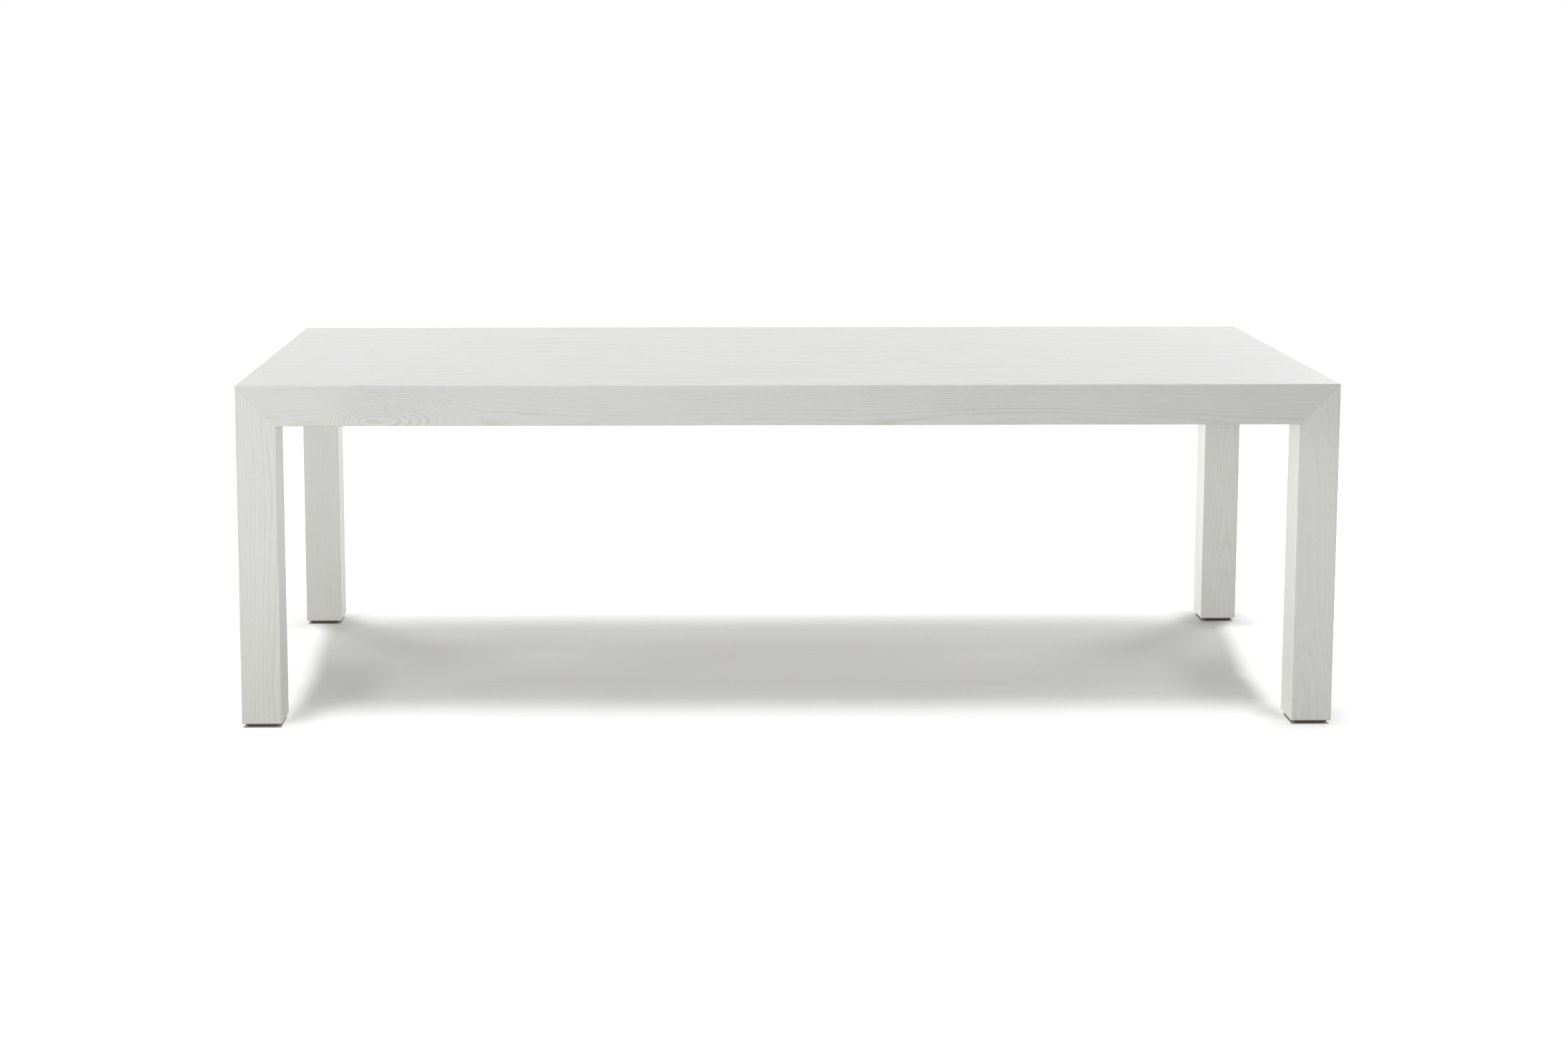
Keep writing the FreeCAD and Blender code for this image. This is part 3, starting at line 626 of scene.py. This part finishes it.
# the darker crease right beside a leg's inner side, and the dark beneath its foot
CREASE_REACH, CREASE_DARK, CREASE_ASIDE = 0.02, 0.25, (1.10, 1.12)
OVERHANG, BENEATH_DARK = (-6 * MM, -1 * MM), 0.92


def seen_rays(tree):
    """1 for what the eye, a gloss or a clear material sees, 0 for light that falls on things."""
    path = tree.nodes.new("ShaderNodeLightPath")
    total = path.outputs["Is Camera Ray"]
    for name in ("Is Glossy Ray", "Is Transmission Ray"):
        node = tree.nodes.new("ShaderNodeMath")
        node.operation = "MAXIMUM"
        tree.links.new(total, node.inputs[0])
        tree.links.new(path.outputs[name], node.inputs[1])
        total = node.outputs[0]
    return total


def table_shade(x, y):
    """1 in the middle of the shade under the table and 0 outside it."""
    aside = x.size()
    ends = aside - y.most(SPREAD_FROM) * (SPREAD + x * SPREAD_RIGHT)
    front = y + aside.rise(*BY_LEGS) * (FORWARD - x * FORWARD_RIGHT)
    within_ends = ends.fall(SHADE_END - END_FADE, SHADE_END + END_FADE)
    behind_front = front.rise(SHADE_FRONT - FRONT_FADE, SHADE_FRONT + FRONT_FADE)
    before_rear = y.fall(SHADE_REAR - REAR_FADE, SHADE_REAR + REAR_FADE)
    return within_ends * (behind_front * before_rear)


def foot_shade(finish, x, y, under):
    """How much darker the floor is around a foot, and how much darker beneath it, where hardly
    any light gets in."""
    aside, behind = x.size(), y.size()
    beside = (aside - (HALF_LENGTH - MEMBER / 2)).size() - MEMBER / 2
    before = (behind - (HALF_WIDTH - MEMBER / 2)).size() - MEMBER / 2
    apart = finish.length(beside.most(0.0), before.most(0.0))
    between = aside.fall(*BETWEEN_ASIDE) * y.hill(*BETWEEN_BEHIND) * BETWEEN_LEGS
    depth = FOOT_DARK + y * FOOT_DARK_REAR + x * FOOT_DARK_RIGHT
    depth = depth + under.most(between) * FOOT_DARK_IN_SHADE
    crease = apart.fall(0.0, CREASE_REACH) * aside.fall(*CREASE_ASIDE) * CREASE_DARK
    around = (apart.fall(0.0, FOOT_REACH) * depth).most(crease)
    beneath = beside.most(before).fall(*OVERHANG) * BENEATH_DARK
    return around, beneath


def floor_glow(finish):
    """The light added to the floor where it is seen: white around the table, and little of it
    between the legs and beside the feet, where the table's shade lies."""
    x, y = finish.place["X"], finish.place["Y"]
    aside = x.size()
    under = table_shade(x, y)
    paler = aside.hill(*PALER_ASIDE) * y.fall(*PALER_BEHIND) * PALER
    darker = under * aside.rise(*DARKER_ASIDE) * y.fall(*DARKER_BEHIND) * DARKER
    far = finish.length(x, y).rise(*FAR)
    glow = GLOW_AROUND + far * (GLOW_FAR - GLOW_AROUND)
    glow = glow - under * (GLOW_AROUND - GLOW_UNDER - paler) - darker
    around, beneath = foot_shade(finish, x, y, under)
    return glow * (1 - around) * (1 - beneath), under


def make_floor():
    """A pale studio floor with a glow that only the eye sees."""
    reach = FLOOR_REACH
    mesh = bpy.data.meshes.new("studio_floor")
    outline = [(-reach, -reach), (reach, -reach), (reach, reach), (-reach, reach)]
    mesh.from_pydata([(x, y, FLOOR) for x, y in outline], [], [(0, 1, 2, 3)])
    floor = bpy.data.objects.new("studio_floor", mesh)
    bpy.context.scene.collection.objects.link(floor)

    finish = Finish("pale_floor")
    matt = finish.add("ShaderNodeBsdfDiffuse")
    matt.inputs["Color"].default_value = (*FLOOR_COLOUR, 1.0)
    glow = finish.add("ShaderNodeEmission")
    seen = Term(finish, seen_rays(finish.tree))
    strength, under = floor_glow(finish)
    finish.join(strength * seen, glow.inputs["Strength"])
    finish.join(finish.tint(under, WHITE, WARM_WHITE), glow.inputs["Color"])
    both = finish.add("ShaderNodeAddShader")
    finish.tree.links.new(matt.outputs[0], both.inputs[0])
    finish.tree.links.new(glow.outputs[0], both.inputs[1])
    output = finish.add("ShaderNodeOutputMaterial")
    finish.tree.links.new(both.outputs[0], output.inputs["Surface"])
    mesh.materials.append(finish.material)
    floor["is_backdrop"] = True


def make_world():
    """Even light from all round, against a white background."""
    world = bpy.data.worlds.new("studio")
    bpy.context.scene.world = world
    world.use_nodes = True
    tree = world.node_tree
    tree.nodes.clear()
    mix = tree.nodes.new("ShaderNodeMixShader")
    tree.links.new(seen_rays(tree), mix.inputs[0])
    for number, strength in enumerate((WORLD_LIGHT, 1.0), start=1):
        glow = tree.nodes.new("ShaderNodeBackground")
        glow.inputs["Color"].default_value = (*WHITE, 1.0)
        glow.inputs["Strength"].default_value = strength
        tree.links.new(glow.outputs[0], mix.inputs[number])
    output = tree.nodes.new("ShaderNodeOutputWorld")
    tree.links.new(mix.outputs[0], output.inputs["Surface"])


def softbox(name, place, aim, size, watts):
    """A rectangular lamp that faces a point."""
    lamp = bpy.data.lights.new(name, "AREA")
    lamp.shape = "RECTANGLE"
    lamp.size, lamp.size_y = size
    lamp.energy = watts
    holder = bpy.data.objects.new(name, lamp)
    holder.location = place
    holder.rotation_mode = "QUATERNION"
    holder.rotation_quaternion = (Vector(aim) - Vector(place)).to_track_quat("-Z", "Y")
    holder.visible_camera = False
    bpy.context.scene.collection.objects.link(holder)


# each softbox: where it hangs, what it faces, its size and its watts
AT_TOP = (0.0, 0.0, 0.7)
AT_MIDDLE = (0.0, 0.0, 0.5)
AT_LEGS = (0.0, 0.0, 0.4)
SOFTBOXES = {
    "overhead": ((0.0, 0.0, 9.0), AT_TOP, (1.0, 2.0), 250),
    "overhead_front": ((0.0, -2.0, 4.5), AT_TOP, (2.4, 0.8), 38),
    "overhead_rear": ((0.0, 2.0, 4.5), AT_TOP, (2.4, 0.8), 27),
    "left_rear": ((-3.0, 2.6, 2.0), AT_MIDDLE, (1.2, 1.2), 42),
    "right_rear": ((3.0, 2.6, 2.0), AT_MIDDLE, (1.2, 1.2), 54),
    "left_front": ((-9.0, -5.0, 1.2), AT_LEGS, (2.0, 2.0), 300),
    "front_left": ((-6.5, -8.0, 1.2), AT_LEGS, (2.0, 2.0), 310),
    "left_low": ((-12.0, -0.3, 0.6), AT_LEGS, (3.0, 1.2), 240),
    "right_low": ((12.0, -0.3, 0.6), AT_LEGS, (3.0, 1.2), 570),
    "front_low": ((-0.2, -5.0, 0.8), AT_LEGS, (2.4, 0.9), 18),
    "rear_low": ((0.0, 5.0, 0.4), AT_LEGS, (2.4, 0.6), 24),
}


def make_lamps():
    """Three lamps overhead, two behind the ends, two far off at the front left, which leave the
    front slowly darker to the right, and four low ones that reach the legs from all sides."""
    for name, (place, aim, size, watts) in SOFTBOXES.items():
        softbox(name, place, aim, size, watts)


# the view's size, the focal length and where the lens points in the view, all in its pixels
VIEW_WIDTH, VIEW_HEIGHT = 2352, 1568
FOCAL_LENGTH = 3544.3
LENS_ACROSS, LENS_DOWN = 1064.3, 454.7
PLATE_WIDTH = 36.0            # millimetres
CAMERA_PLACE = (-0.2337, -5.5594, 1.5272)
PITCH_DOWN, TURN_LEFT = 6.633, -0.694  # degrees


def make_camera():
    """A view camera: its plate is shifted down and sideways, which keeps the legs nearly
    upright."""
    data = bpy.data.cameras.new("view_camera")
    data.sensor_fit = "HORIZONTAL"
    data.sensor_width = PLATE_WIDTH
    data.lens = FOCAL_LENGTH / VIEW_WIDTH * PLATE_WIDTH
    data.shift_x = (VIEW_WIDTH / 2 - LENS_ACROSS) / VIEW_WIDTH
    data.shift_y = (LENS_DOWN - VIEW_HEIGHT / 2) / VIEW_WIDTH
    camera = bpy.data.objects.new("view_camera", data)
    camera.location = CAMERA_PLACE
    camera.rotation_euler = (math.radians(90 - PITCH_DOWN), 0.0, math.radians(TURN_LEFT))
    bpy.context.scene.collection.objects.link(camera)
    bpy.context.scene.camera = camera


finish_table()
finish_frame()
finish_fittings()
make_floor()
make_world()
make_lamps()
make_camera()
bpy.context.scene.view_settings.view_transform = "Standard"

boxes = {"cad": cad_box, "visual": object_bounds()}
{name: [list(corner) for corner in box] for name, box in boxes.items()}
